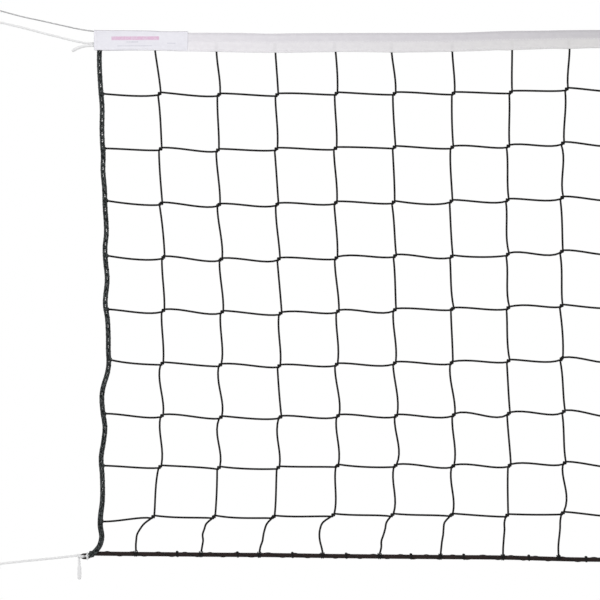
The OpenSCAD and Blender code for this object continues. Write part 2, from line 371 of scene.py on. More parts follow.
steel_wire = steel_material("steel_wire_rope", (0.46, 0.46, 0.47), 0.42, 7, 2.2, 0.12)
zinc = steel_material("zinc_plate", (0.72, 0.73, 0.75), 0.35)
dull_aluminium = steel_material("dull_aluminium", (0.6, 0.58, 0.54), 0.45)
twine = cord_material("black_twine", (0.003, 0.003, 0.003), (0.012, 0.011, 0.011), 3, 4.5, 0.1)
# The teal-black cord's fine, bright mottle is painted glints on its braid.
black_cord = cord_material("teal_black_cord", (0.003, 0.005, 0.005), (0.122, 0.136, 0.136), 4, 5.5, 0.25,
                           braid=True, mottle=(300, 0.4, 0.64, 0.05))
rope_black = cord_material("brown_black_rope", (0.007, 0.005, 0.005), (0.04, 0.025, 0.022), 12, 9, 0.25)
white_cord = cord_material("white_cord", (0.68, 0.68, 0.69), (0.84, 0.84, 0.84), 8, 3.4, 0.25,
                           braid=True, sheen=0.3)


def cloth_material(name, base, shade, weave, rough, weave_depth):
    """Woven cloth: threads that cross, with painted shade in the dips between them, and a soft mottle. Faces that
    turn downwards get painted light, for light that comes through its folds from above.
    """
    n = Nodes(name, Roughness=rough, Sheen_Weight=0.25, Sheen_Roughness=0.6, Specular_IOR_Level=0.3)
    x, _, z = n.split(n.place())
    height = n.times(*(n.wave(n.times(v, 1000 / weave)) for v in (x, z)))
    mottle = n.ramp(n.noise(140, 4), 0.3, 0.7)
    n.put(n.shader.inputs["Roughness"], n.ramp(mottle, 0, 1, rough - 0.08, rough + 0.08))
    n.bump(n.math("MULTIPLY_ADD", mottle, 0.4, height), 0.35, weave_depth * MM)
    # the weave's dips get painted shade; the mottle is the cloth's own tone
    cloth = n.blend(n.times(mottle, n.ramp(height, 0, 1, 0.6, 1.0)), shade, base)
    _, _, up = n.split(n.make("ShaderNodeNewGeometry").outputs["Normal"])
    # painted light: faces that turn downwards are lightened
    return n, n.blend(n.ramp(up, -0.2, -0.8), cloth, (0.95, 0.94, 0.97)), up


def band_material():
    """The headband is darker over the cable, partly its own tone and partly painted shade. It has painted shade
    that grows away from its ends, and painted shade along its top edge. The twine under it shows.
    """
    n, cloth, _ = cloth_material("band_cloth", (0.778, 0.761, 0.788), (0.72, 0.70, 0.735), 0.9, 0.75, 0.06)
    x, z, twine_under = n.lay()
    # painted shade that grows from the band's ends towards its middle, for the light's falloff
    tone_and_painted_shade = n.times(n.ramp(x, 100, 900), n.ramp(x, BAND_L - 100, BAND_L - 900))
    cloth = n.tinted(tone_and_painted_shade, cloth, (0.806, 0.814, 0.777))
    # darker over the cable: partly the sleeve's own tone and partly painted shade, which grows with the painted
    # shade away from the ends
    over = n.times(n.ramp(z, -14.5, -7.5), n.math("MULTIPLY_ADD", tone_and_painted_shade, 0.75, 0.25))
    cloth = n.tinted(over, cloth, (0.83, 0.82, 0.86))
    # painted shade along the band's top edge
    cloth = n.tinted(n.ramp(z, -2.5, 1.5), cloth, (0.87, 0.87, 0.87))
    n.colour(n.tinted(twine_under, cloth, (0.90, 0.90, 0.90)))
    return n.owner


def patch_material():
    """A white patch with a plain printed stripe and three thin lines, and painted shade on the faces that turn
    upwards along its top.
    """
    n, cloth, up = cloth_material("patch_cloth", (0.75, 0.742, 0.79), (0.705, 0.697, 0.75), 0.7, 0.6, 0.04)
    x, z, y = n.lay()
    # painted shade: faces that turn upwards, along the patch's top, are darkened
    cloth = n.tinted(n.ramp(up, 0.5, 0.9), cloth, (0.55, 0.53, 0.55))

    def field(x0, x1, z0, z1):
        return n.times(n.between(x, x0, x1), n.between(z, z0, z1))

    front = n.ramp(y, 0.0, -1.0)
    stripe = n.times(field(30, 112, -9.6, -3.4), front)
    lines = n.math("ADD", field(56, 76, -13.4, -12.4), field(40, 100, -19.8, -19.2))
    lines = n.times(n.math("ADD", lines, field(126, 140, -15.6, -14.8)), front)
    worn = n.ramp(n.noise(500, 3), 0.25, 0.6, 0.35, 0.8)
    printed = n.blend(n.times(stripe, worn), cloth, (0.62, 0.34, 0.52))
    n.colour(n.blend(n.times(lines, worn), printed, (0.30, 0.31, 0.38)))
    return n.owner


def thread_material():
    n = Nodes("sewing_thread", Roughness=0.6)
    n.colour(n.blend(n.ramp(n.noise(800, 2), 0.3, 0.7), (0.72, 0.71, 0.74), (0.82, 0.81, 0.84)))
    n.bump(n.noise(2500, 2), 0.4, 0.05 * MM)
    return n.owner


band_cloth = band_material()
patch_cloth = patch_material()
thread = thread_material()

# ---- Camera and stage ----

scene = bpy.context.scene
scene.view_settings.view_transform = "Standard"

LENS, SENSOR = 120, 36
EYE = np.array([726.5, -3407.7, -433.3]) * MM
TARGET = np.array([555.7, 0, -501.3]) * MM
ROLL = math.radians(0.174)
FLOOR_Z = -2.43
# Name, place, size, watts and the x that the lamp looks at
LAMPS = [("key", (-1.5, -5.0, 4.0), 3.0, 190, 1.0), ("fill", (9.0, -6.0, 3.0), 4.0, 160, 5.0),
         ("back", (5.0, 6.0, 4.0), 5.0, 140, 5.0)]
LAMPS_AIM_Z, SOFT_LIGHT = -0.5, 0.62


def make_camera():
    camera = placed("camera", bpy.data.cameras.new("camera"))
    camera.data.lens, camera.data.sensor_width = LENS, SENSOR
    camera.data.clip_end = 200
    look = Vector(TARGET - EYE).to_track_quat("-Z", "Y").to_matrix().to_4x4()
    camera.matrix_world = Matrix.Translation(Vector(EYE)) @ look @ Matrix.Rotation(ROLL, 4, "Z")
    scene.camera = camera


def seen_rays(n):
    """1 for what the camera sees, also in a mirror or through glass, and 0 for the rest."""
    rays = n.make("ShaderNodeLightPath").outputs
    seen = rays["Is Camera Ray"]
    for other in ("Is Transmission Ray", "Is Glossy Ray"):
        seen = n.make("ShaderNodeMath", (seen, rays[other]), operation="ADD", use_clamp=True).outputs[0]
    return seen


def make_floor():
    """A pale floor, whitened where it is seen, whose far parts fade into the white of the world."""
    near, far, reach, whitened = 5.5, 8.5, 70.0, 0.6
    n = Nodes("pale_floor", Roughness=0.9, Specular_IOR_Level=0.0)
    n.colour((0.86, 0.86, 0.86))
    x, y, _ = n.split(n.place())
    away = n.math("SQRT", n.math("ADD", n.times(x, x), n.times(y, y)))
    glow = n.make("ShaderNodeEmission", {"Color": (1, 1, 1), "Strength": 1.0})
    white = n.math("MAXIMUM", n.ramp(away, near, far), n.times(seen_rays(n), whitened))
    mix = n.make("ShaderNodeMixShader", (white, n.shader.outputs[0], glow.outputs[0]))
    n.put(n.tree.nodes["Material Output"].inputs["Surface"], mix.outputs[0])
    mesh = bpy.data.meshes.new("floor")
    corners = [(-reach, -reach, 0), (reach, -reach, 0), (reach, reach, 0), (-reach, reach, 0)]
    mesh.from_pydata(corners, [], [(0, 1, 2, 3)])
    mesh.materials.append(n.owner)
    floor = placed("floor", mesh)
    floor.location = ((cad_bounds[0].x + cad_bounds[1].x) / 2, 0, FLOOR_Z)


def make_light():
    """White where the camera, a mirror or glass looks, and a plain soft light everywhere else."""
    scene.world = bpy.data.worlds.new("studio")
    n = Nodes(scene.world)
    back = n.tree.nodes["Background"].inputs
    n.put(back["Color"], (1, 1, 1))
    n.put(back["Strength"], n.ramp(seen_rays(n), 0, 1, SOFT_LIGHT, 1.0))
    for name, place, size, watts, aim_x in LAMPS:
        light = bpy.data.lights.new(name, "AREA")
        light.size, light.energy = size, watts
        lamp = placed(name, light)
        lamp.location = place
        aim = Vector((aim_x, 0, LAMPS_AIM_Z))
        lamp.rotation_euler = (aim - lamp.location).to_track_quat("-Z", "Y").to_euler()


make_camera()
make_floor()
make_light()

# ---- Cable and its ends ----

EYE_OUT, EYE_UP, EYE_SLOPE = 202, 49, math.radians(12.5)
CABLE_D, CABLE_SAG, CABLE_RINGS, CABLE_INSIDE = 2.4, 0.75, 300, 0.98
LOOP_R, LEG, MOUTH, FERRULE_L, DEAD_END = 8, 1.7, 16, 16, 3
FITTINGS = {"thimble": zinc, "ferrule": dull_aluminium}
CABLE_ROUTE = [(60, 0.8), (40, 2.4), (20, 4.2), (0, 6), (-28, 10.2), (-90, 23.9), (-126, 31.8)]


def from_eye(along, across):
    """From the eye's own frame, along the cable and across it, to the corner frame."""
    c, s = math.cos(EYE_SLOPE), math.sin(EYE_SLOPE)
    return along * c + across * s - EYE_OUT, across * c - along * s + EYE_UP


def cable_end(steps=24):
    """The cable's end from its dead end, round the eye and in to the headband."""
    tangent = math.atan2(LEG, MOUTH) + math.acos(LOOP_R / math.hypot(MOUTH, LEG))
    sweep = TAU - 2 * tangent
    turn = [-tangent - sweep * i / steps for i in range(steps + 1)]
    return ([from_eye(MOUTH + FERRULE_L + DEAD_END, -LEG), from_eye(MOUTH, -LEG)]
            + [from_eye(LOOP_R * math.cos(a), LOOP_R * math.sin(a)) for a in turn]
            + [from_eye(MOUTH, LEG), from_eye(MOUTH + FERRULE_L, LEG)]
            + CABLE_ROUTE[::-1] + [(72, 0), (110, 0)])


def make_cable():
    end = smooth(cable_end(), 1.2)
    far = end[::-1] * [-1, 1, 1] + [BAND_L, 0, 0]
    x = np.linspace(end[-1, 0], far[0, 0], CABLE_RINGS + 2)[1:-1]
    path = np.vstack([end, xyz(x, 0, CABLE_SAG * np.minimum(band_sag(x), 0)), far])
    build = Build()
    for part in (end, far):
        tubes(build, part, CABLE_D / 2, lobes=strands(6, 0.16, 3), sides=18, lay=13)
    tubes(build, path[len(end) - 2:len(end) + CABLE_RINGS + 2], CABLE_INSIDE * CABLE_D / 2, sides=12)
    cable = build.piece("top_cable_wire", steel_wire, "cable", "top_cable", body="cable")
    line = in_row(path)
    fittings = {f"{side}_{part}": metal for side in SIDES for part, metal in FITTINGS.items()}
    for name, metal in fittings.items():
        materials = frame["nodes"][name].data.materials
        materials.clear()
        materials.append(metal)


make_cable()

# ---- White tie ropes ----

TIE_D, BAND_TAIL_D, CORNER_TAIL_D = 4.0, 4.6, 6.0
TIE_KNOT_L, LOOP_BORE = 8, 26
TURN_X, TURN_Z, TURN_R, MOUTH_HALF = 12, -16.6, 2.9, 2.3
BAND_TIE_ROUTE = [(0, -14.3), (-14, -14), (-32, -10.8), (-60, -3.9), (-90, 3.6), (-120, 11.6), (-172, 24),
    (-232, 38)]
BAND_TAIL_ROUTE = [(0, -18.9), (-10, -18.7), (-20, -19.8), (-30, -23.2), (-38, -27.4)]
CORNER_Z = -NET_DROP - 4.6
HITCH_IN, HITCH_OUT = -21.4, -29.4
CORNER_TIE_ROUTE = [(HITCH_OUT, 0), (-60, -3.8), (-90, -7.2), (-125, -11), (-172, -16.6)]
CORNER_TAIL_ROUTE = [(0, 0), (0.2, -12), (0.6, -25), (0.4, -37)]
TAIL_TOP = (-25.4, CORNER_Z - 3.3)


def braid(count, pitch, depth):
    """The share of a braided cord's radius: strands that cross in diamonds."""
    def share(angle, along):
        turn = along * (TAU / pitch)
        ridge = np.maximum(np.cos(count * angle + turn), np.cos(count * angle - turn))
        return 1 - depth * (1 - ridge) / 2
    return share


TIE_BRAID = braid(4, 9, 0.16)
TIE_STEP = 0.9


def braided(build, path, radius, seed=0.0):
    """A braided cord along a path. radius is one number, or (share of the length, radius) pairs."""
    path = resampled(path, TIE_STEP)
    if not np.isscalar(radius):
        radius = read_off(radius, np.linspace(0, 1, len(path)))
    tubes(build, path, radius, sides=20, seeds=seed, share=TIE_BRAID)


def flat_way(tip, before):
    """The way from one point of the corner frame to another, and the way across it."""
    way = np.subtract(tip, before)
    way = way / np.linalg.norm(way)
    return way, np.array([-way[1], way[0]])


def knot_turns(tip, way, width, length, turns, cord_r):
    """A cord wound tightly round itself, as in a stopped knot whose middle is at tip."""
    t = np.linspace(0, 1, int(turns * 24) + 1)
    a = TAU * turns * t
    r = width / 2 - cord_r
    across = np.array([-way[1], way[0]])
    run = (t - 0.5) * (length - 2 * cord_r)
    return in_space(tip + run[:, None] * way + (r * np.cos(a))[:, None] * across, r * np.sin(a))


def fray(build, tip, way, spread, count, seed, reach=3, radius=0.5):
    """Loose strands that splay out of a cord's cut end."""
    rng = default_rng(seed)
    across = np.array([-way[1], way[0]])
    t = np.linspace(0, 1, 7)[:, None]
    opened = 0.35 + 0.65 * t**2
    paths = []
    for k in range(count):
        a = TAU * (k + rng.uniform(-0.3, 0.3)) / count
        out = spread * rng.uniform(0.5, 1.0)
        flat = tip + way * (t * reach * rng.uniform(0.6, 1.0) - 2) + across * (out * math.cos(a) * opened)
        paths.append(in_space(flat, out * math.sin(a) * opened[:, 0]))
    tubes(build, paths, np.linspace(radius, 0.6 * radius, 7), seeds=rng.uniform(0, 1, count))


def end_loop(route, part, side):
    """The knot and loop at the far end of a tie rope that runs along a route."""
    tip = np.array(route[-1], float)
    way, across = flat_way(tip, route[-2])

    def at(along, aside):
        return tip + way * along + across * aside

    r = (LOOP_BORE + TIE_D) / 2
    build = Build()
    a = np.linspace(-2.8, 2.8, 60)
    middle = tip + way * (TIE_KNOT_L + r - 1)
    loop = middle + np.outer(np.cos(a), way) * r + np.outer(np.sin(a), across) * (r - 1)
    legs = np.vstack([at(3, -1.3), loop, at(3, 1.3)])
    braided(build, smooth(legs, 1.0), TIE_D / 2)
    braided(build, knot_turns(tip + way * TIE_KNOT_L / 2, way, 9.4, TIE_KNOT_L + 1.5, 2.5, 1.8), 1.8, 0.4)
    stub = [at(6, 2.2), at(1.5, 5.4), at(-7, 6.6)]
    braided(build, smooth(in_space(stub, -1.0), 1.0), 0.88 * TIE_D / 2, 0.7)
    fray(build, stub[-1], -way, 1.5, 7, 5, reach=5, radius=0.45)
    return build.piece(part + "_rope", white_cord, "tie_rope", part, side)


def free_cord(side, part, route, diameter, exit, radius=None, loop=None, frayed=None, seed=0.0):
    """One white rope of a corner. frayed is how its cut end splays, as
    spread, count and seed."""
    path = smooth(route, 1.0)
    build = Build()
    braided(build, path, radius or diameter / 2, seed)
    if frayed:
        end, before = path[-1][[0, 2]], path[-8][[0, 2]]
        fray(build, end, flat_way(end, before)[0], *frayed)
    ob = build.piece(part + "_rope", white_cord, "tie_rope", part, side)
    line = in_row(path, side)
    in_row(exit, side)


def make_band_ties(side):
    upper, lower = (0, TURN_Z + MOUTH_HALF), (0, TURN_Z - MOUTH_HALF)
    turn = [(TURN_X + TURN_R * math.cos(a), TURN_Z + TURN_R * math.sin(a))
            for a in np.linspace(math.pi / 2, -math.pi / 2, 7)]
    build = Build()
    braided(build, smooth([upper, *turn, lower], 1.0), TIE_D / 2)
    build.piece("band_turn_rope", white_cord, "tie_rope", "band_turn", side)
    free_cord(side, "band_tie", BAND_TIE_ROUTE, TIE_D, upper,
              loop=end_loop(BAND_TIE_ROUTE, "band_loop", side))
    free_cord(side, "band_tail", BAND_TAIL_ROUTE, BAND_TAIL_D, lower,
              radius=[(0, 2.1), (0.3, 2.2), (0.6, 2.8), (0.96, 2.8), (1, 2.4)], frayed=(2.2, 9, 11), seed=0.3)


def make_corner_ties(side):
    tie = [(x, CORNER_Z + z) for x, z in CORNER_TIE_ROUTE]
    free_cord(side, "corner_tie", tie, TIE_D, (HITCH_OUT, CORNER_Z),
              loop=end_loop(tie, "corner_loop", side))
    tail = np.add(CORNER_TAIL_ROUTE, TAIL_TOP)
    free_cord(side, "corner_tail", tail, CORNER_TAIL_D, TAIL_TOP,
              radius=[(0, 2.2), (0.34, 2.3), (0.5, 3.4), (0.92, 3.5), (1, 2.7)], frayed=(2.7, 12, 23), seed=0.6)


for side in SIDES:
    make_band_ties(side)
    make_corner_ties(side)

# ---- Netting ----

ROW_START, ROW_SLACK, LAST_BAR = 5, 0.58, 65.5
ROW_PITCH = (NET_DROP - LAST_BAR - ROW_START + ROW_SLACK * ROWS * (ROWS - 1)) / ROWS
TOP_ROW_Z, BOTTOM_D, SIDE_SHIFT = -9.5, 8.4, 0.9
TWINE_D, KNOT_W, KNOT_L, KNOT_SLANT, KNOT_TWINE = 3.4, 7.5, 5.6, math.radians(34), 3.7
SIDE_LINE = [(9, -22), (7.9, -34), (8.3, -60), (10.4, -94), (12.8, -125), (12.5, -160), (13.4, -187), (14.8, -206),
    (14.4, -233), (17, -263), (18, -294), (19.8, -320), (20.2, -341), (18, -364), (19, -387), (21.8, -418),
    (18.9, -449), (18.8, -464), (22.3, -486), (23.8, -515), (23.9, -541), (24.8, -560), (22.3, -579), (15.2, -603),
    (12.8, -622), (14.6, -646), (18.2, -672), (16, -696), (11.7, -725), (13.6, -755), (14.3, -785), (13.4, -804),
    (10.8, -825), (10.4, -842)]
# Where the knots near the net's end lie, in mm inwards and up from their places in an even mesh, by row
KNOT_IN = [[3, 5, 4, 5, 4, 4, 1, -5], [5, 3, 3, 4, 4, 2, -3, -11], [6, 5, 5, 5, 3, 1, -4, -12],
    [10, 9, 8, 6, 6, 2, -3, -12], [10, 11, 11, 9, 6, 4, -2, -12], [8, 8, 9, 7, 6, 3, -1, -11],
    [8, 9, 11, 10, 9, 7, 0, -7], [5, 6, 8, 9, 8, 6, 2, -5], [-7, -2, 0, 2, 3, 4, -2, -8]]
KNOT_UP = [[0, 0, -2, -2, 0, 0, 0, 2, 7], [1, 0, -2, 0, 1, 3, 3, 5, 10], [5, 0, -2, -1, 2, 3, 5, 7, 11],
    [3, 0, -3, -2, 0, 4, 3, 7, 12], [2, 0, -2, -4, 0, 3, 5, 7, 11], [5, -1, -3, -4, -1, 2, 3, 7, 11],
    [1, -2, -4, -3, 0, 1, 3, 6, 10], [-1, -2, -3, -2, 2, 3, 3, 5, 10], [-11, -2, -1, 0, 4, 5, 6, 6, 11]]
HEAD_IN = [-6.5, 1, 0.5, 2.3, -1.3, 1.8, 2.7, -1.5]
FOOT_SHIFT = [36, 23.5, 23.5, 15, 17.5, 14, 8, 14]
# How far the first lowest bars bend away from a straight line, at five places from the knot down
FOOT_BEND = [[-8.2, -11.1, -11.8, -8.6, -4.7], [-7.7, -8.0, -7.8, -3.4, -1.7], [-5.4, -5.4, -4.2, -2.0, -1.8],
    [-12.3, -14.6, -13.5, -10.1, -4.9], [-4.5, -3.4, -3.3, -3.7, -0.7], [-6.9, -5.9, -4.0, -3.2, -1.6],
    [-1.5, -0.5, -0.5, -0.6, -0.6], [-1.0, -0.5, -0.8, -1.4, -1.1]]
# How far the handles at both ends of each bar near the net's end bend it, by row: level bars up, uprights inwards
ROW_OUT = [[1, -1, 0, 3, 1, 0, 1, 2, 0], [-1, 0, 0, 1, 2, 3, 4, 7, 3], [-3, 1, 3, 5, 5, -3, 0, 3, 5],
    [-3, 2, 3, 5, 7, 5, -1, 8, 4], [-1, 5, 1, 6, 6, 5, 5, 10, -1], [-6, 4, 0, 3, 1, 5, 7, -1, 7],
    [0, 6, -2, 1, 7, 0, 13, 7, 4], [0, 0, -5, -1, -3, 5, 5, 12, 2], [2, -4, -3, 0, -1, -1, -1, 2, -1]]
ROW_BACK = [[0, 1, 0, 4, 4, 3, 0, 2, -3], [1, -1, 0, 3, 4, 1, 0, -5, -6], [-3, -3, -4, -4, 1, -4, -5, -4, -6],
    [-2, -5, -5, -1, -2, 0, -1, -7, -6], [-5, -3, -2, -3, -7, 3, 0, 2, -4], [2, 2, 1, -2, -4, -1, -3, -6, -14],
    [-4, 2, 0, -5, -3, -3, -11, -10, -14], [0, 5, 0, 3, -1, -2, -3, -4, -6], [8, 4, 3, 1, 6, 5, 3, 1, -2]]
UP_OUT = [[1, -3, -2, 0, -3, -1, 1, 2], [2, -3, -3, -2, -4, -2, 0, 1], [0, 1, 1, -1, 2, -3, 2, 8],
    [2, -1, 0, -1, 2, 3, 2, 3], [1, -4, 1, -1, 1, 1, 5, 6], [-5, -5, -2, -4, -1, -2, 4, 2],
    [-9, -7, 0, -1, -3, -5, 2, 4], [-6, -12, -10, -5, -2, -2, -2, 3], [-7, -2, -1, -5, -9, -6, -2, -6]]
UP_BACK = [[-3, 3, 0, 1, 3, 2, -1, -2], [-1, 0, 0, 3, -2, -2, -1, 0], [-3, 1, -1, -2, -2, -1, -2, -8],
    [0, 5, -2, 2, -4, -4, -7, -2], [2, 0, 0, 2, -3, -4, -6, -5], [4, 6, 3, 3, 2, 0, -6, 0],
    [2, 6, -2, 4, 4, 1, -2, -4], [4, 5, 5, 4, 10, 7, -1, -2], [2, 5, 3, 8, 9, 8, -1, 15]]
MEASURED, FADED = 8, 24  # columns whose places are measured, and where that has faded out
# Where level bars, uprights and lowest bars leave a knot, from its middle
ROW_EXIT, UP_EXIT, LAST_EXIT = np.array([[2.4, 0, 2.3], [2.4, 0, 2.2], [1.8, 0, 2.0]])


def row_z(k):
    return -(ROW_START + ROW_PITCH * k - ROW_SLACK * k * (k - 1))


def eased(v, low, high):
    t = np.clip((np.asarray(v, float) - low) / (high - low), 0, 1)
    return t * t * (3 - 2 * t)


def side_at(z):
    line = smooth(SIDE_LINE, 4)
    return np.interp(-np.asarray(z, float), -line[:, 2], line[:, 0]) + SIDE_SHIFT


def net_knots():
    """Places of the knots, by row from the headband to the bottom rope and by column."""
    rng = default_rng(4)
    k, i = np.meshgrid(np.arange(ROWS + 2), np.arange(MESHES + 1), indexing="ij")
    x = SIDE_INSET + MESH * i
    z = np.where(k == 0, TOP_ROW_Z, np.where(k > ROWS, -NET_DROP, row_z(k)))
    inward, up = np.zeros((2, *x.shape))
    inward[0, 1:MEASURED + 1] = HEAD_IN
    inward[1:ROWS + 1, 1:MEASURED + 1], up[1:ROWS + 1, :MEASURED + 1] = KNOT_IN, KNOT_UP
    inward[ROWS + 1, 1:MEASURED + 1] = np.negative(FOOT_SHIFT)
    fade = 1 - eased(np.arange(MEASURED + 1, FADED), MEASURED, FADED - 1)
    for v in inward, up:
        v[:, MEASURED + 1:FADED] = v[:, [MEASURED]] * fade
    x, z = x + inward - inward[:, ::-1], z + up + up[:, ::-1]
    inside = (i > 0) & (i < MESHES) & (k > 0) & (k <= ROWS)
    far = inside & (i > MEASURED)
    x, z = x + rng.normal(0, 1.8, x.shape) * far, z + rng.normal(0, 1.2, z.shape) * far
    y = rng.normal(0, 0.9, z.shape) * inside
    z[0] += band_sag(x[0])
    x[:, 0], x[:, -1] = side_at(z[:, 0]), BAND_L - side_at(z[:, -1])
    return xyz(x, y, z)


def make_bars(rng, start, out, end, back, name, node):
    """Bars of twine as Bezier curves. Those that follow one another are one run."""
    t = np.linspace(0, 1, 10)[:, None]
    a, b, c, d = (v[..., None, :] for v in (start, start + out, end + back, end))
    paths = (1 - t)**3 * a + 3 * (1 - t)**2 * t * b + 3 * (1 - t) * t**2 * c + t**3 * d
    runs = paths.reshape(len(paths), -1, 3)
    seeds = rng.uniform(0, 1, len(runs))
    tubes(Build(), runs, TWINE_D / 2, sides=8, seeds=seeds).piece(name, twine, "twine", node)


def jitter(rng, like, x, y, z):
    return rng.normal(0, 1, like.shape) * [x, y, z]


def make_rows(knots):
    """The level twines. Gives the heights of those that meet the side rope."""
    rng = default_rng(8)
    here, there = knots[1:ROWS + 1, :-1], knots[1:ROWS + 1, 1:]
    start, end = here + ROW_EXIT, there - ROW_EXIT
    start[:, 0], end[:, -1] = here[:, 0] + [2.0, 0, 0], there[:, -1] - [2.0, 0, 0]
    third = (end - start) * [1 / 3, 0, 0]
    out = third + [0, 0, -1.6] + jitter(rng, third, 2, 0.8, 1.4)
    back = -third * 0.75 + [0, 0, -2.6] + jitter(rng, third, 2, 0.8, 1.2)
    out[:, :MEASURED + 1, 2] += ROW_OUT
    back[:, :MEASURED + 1, 2] += ROW_BACK
    make_bars(rng, start, out, end, back, "netting_rows", "mesh_rows")
    x = np.linspace(80, BAND_L - 80, 700)
    top = tubes(Build(), xyz(x, 0, TOP_ROW_Z + band_sag(x)), TWINE_D / 2)
    top.piece("netting_top_row", twine, "twine", "mesh_top_row")
    return start[:, 0, 2]


def make_uprights(knots):
    rng = default_rng(12)
    columns = np.moveaxis(knots[:ROWS + 1, 1:-1], 0, 1)
    above, below = columns[:, :-1], columns[:, 1:]
    start, end = above - UP_EXIT, below + UP_EXIT
    start[:, 0] = above[:, 0]
    third = (end - start) * [0, 0, 1 / 3]
    out = third + [1.4, 0, 0] + jitter(rng, third, 1.3, 0.8, 2)
    back = -third + [-0.4, 0, 0] + jitter(rng, third, 1.2, 0.8, 2)
    out[:MEASURED, :, 0] += np.transpose(UP_OUT)
    back[:MEASURED, :, 0] += np.transpose(UP_BACK)
    make_bars(rng, start, out, end, back, "netting_uprights", "mesh_columns")


def make_knots(knots):
    """Each knot: the upright twine turns one and a half times round the level one."""
    rng = default_rng(16)
    places = knots[1:ROWS + 1, 1:-1].reshape(-1, 3)
    n = len(places)
    t = np.linspace(0, 1, 17)
    slant = KNOT_SLANT + rng.normal(0, 0.16, n)
    turn = TAU * 1.6 * t + rng.normal(0, 0.5, (n, 1)) + math.pi / 2
    run = (t - 0.5) * KNOT_L
    r = (KNOT_W - KNOT_TWINE) / 2
    c, s = np.cos(slant)[:, None], np.sin(slant)[:, None]
    up = r * np.cos(turn)
    coil = xyz(run * c - up * s, 0.95 * r * np.sin(turn), run * s + up * c)
    coils = tubes(Build(), places[:, None] + coil, 0.96 * KNOT_TWINE / 2, seeds=rng.uniform(0, 1, n))
    coils.piece("netting_knots", twine, "twine")


def through(points, steps):
    """Smooth curves through rows of points, with so many steps from each point to the next."""
    ends = np.concatenate([2 * points[:, :1] - points[:, 1:2], points, 2 * points[:, -1:] - points[:, -2:-1]], 1)
    n = points.shape[1] - 1
    curve = catmull(*(ends[:, k:k + n, None] for k in range(4)), (np.arange(steps) / steps)[:, None])
    return np.concatenate([curve.reshape(len(points), -1, 3), points[:, -1:]], 1)


def make_lowest_bars(knots):
    """The bars from the last row down, and their hitches round the bottom rope."""
    rng = default_rng(20)
    top, foot = knots[ROWS, 1:-1], knots[ROWS + 1, 1:-1] + [0, 0, BOTTOM_D / 2 + 0.2]
    start = top - LAST_EXIT
    n = len(start)
    bend = np.array(FOOT_BEND)
    bends = bend[np.arange(n) % MEASURED] * rng.uniform(-0.6, 0.6, (n, 1))
    bends[:MEASURED], bends[-MEASURED:] = bend, -bend[::-1]
    t = np.linspace(0, 1, 7)[:, None]
    points = start[:, None] * (1 - t) + foot[:, None] * t
    points[:, 1:-1, 0] += bends
    points[:, 1:-1, 1] += rng.normal(0, 0.6, bends.shape)
    build = Build()
    tubes(build, through(points, 3), TWINE_D / 2, sides=8, seeds=rng.uniform(0, 1, n))
    t = np.linspace(0, 1, 34)
    lead = np.sign(foot - start)[:, :1]
    turn = TAU * 2.3 * t + math.pi / 2 + rng.normal(0, 0.2, (n, 1))
    r = BOTTOM_D / 2 + 0.4
    hitch = xyz(foot[:, :1] + (t - 0.5) * 6.2 * -lead, r * np.cos(turn), r * np.sin(turn) - NET_DROP)
    tubes(build, hitch, 1.0, seeds=rng.uniform(0, 1, n))
    build.piece("netting_lowest_bars", twine, "twine", "mesh_lowest_bars")


knots = net_knots()
row_heights = make_rows(knots)
make_uprights(knots)
make_knots(knots)
make_lowest_bars(knots)

# ---- Edge ropes ----

CURL = [(12.8, -1, -856), (12.9, -1.8, -864), (10.2, -3.2, -874.5), (5.4, -5.4, -882), (-0.4, -7.0, -888),
    (-6.0, -7.4, -892)]
# The side rope and its lacing, the bottom rope, and its thin wrapping with a knot in each mesh
SIDE_STEP, LACE_PITCH, LACE_R = 1.2, 11.8, 3.85
ROPE_END, ROPE_STEP, ROPE_R, ROPE_LAY = -7.5, 2.3, 4.0, 26
WRAP_STEP, WRAP_PITCH, WRAP_R = 2.6, 48, 3.9
KNOT_OVER = [(1.6, -1.8, 3.9), (1.2, -1.4, 5.0), (0, -0.6, 5.6), (-1.4, 0.2, 5.2), (-2.2, 0.6, 4.0)]


def three_strands(angle, _):
    """The share of a twisted rope's radius: three strands that run with the tube's own sides."""
    return 1 - 0.12 * (1 - np.abs(np.cos(1.5 * angle)))


